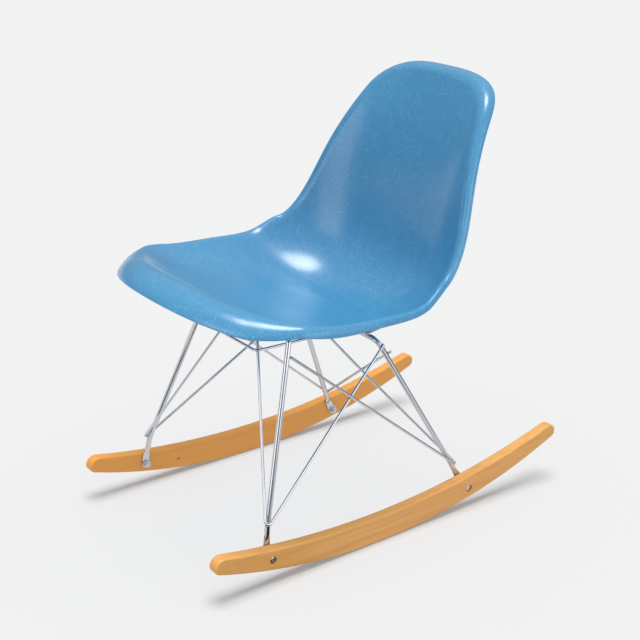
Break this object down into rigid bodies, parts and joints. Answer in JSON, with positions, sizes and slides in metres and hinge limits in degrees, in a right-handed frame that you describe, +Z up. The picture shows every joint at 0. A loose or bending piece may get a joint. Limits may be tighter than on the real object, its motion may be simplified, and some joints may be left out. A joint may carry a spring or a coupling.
{
  "type": "rocking chair",
  "caption": "Moulded shell side chair on a welded bent-rod base with two bowed wooden rockers; the whole chair rocks on the floor.",
  "frame": {"origin": "on the floor, at the middle of the chair's length and width", "axes": "+Z up; the sitter faces -Y; X runs across the chair, with +X on the sitter's left"},
  "size_m": [0.466, 0.7166, 0.7101],
  "materials": {
    "fibreglass": "satin",
    "heavy_rod": "gloss",
    "thin_rod": "gloss",
    "plate_steel": "satin",
    "fastener_steel": "satin",
    "rubber": "matte",
    "wood": "satin"
  },
  "bodies": {
    "root": {"seat_shell": "fibreglass", "front_hoop": "heavy_rod", "rear_hoop": "heavy_rod", "tie_rod": "thin_rod", "front_brace_left": "thin_rod", "rear_brace_left": "thin_rod", "rocker_left": "wood", "front_brace_right": "thin_rod", "rear_brace_right": "thin_rod", "rocker_right": "wood", "shock_mount_front_left": "rubber", "mount_plate_front_left": "plate_steel", "shock_mount_front_right": "rubber", "mount_plate_front_right": "plate_steel", "shock_mount_rear_left": "rubber", "mount_plate_rear_left": "plate_steel", "shock_mount_rear_right": "rubber", "mount_plate_rear_right": "plate_steel", "mount_inserts": "fastener_steel", "mount_washers": "fastener_steel", "mount_screws": "fastener_steel", "rocker_screws": "fastener_steel", "rocker_washers": "fastener_steel", "rocker_nuts": "fastener_steel"}
  },
  "joints": []
}
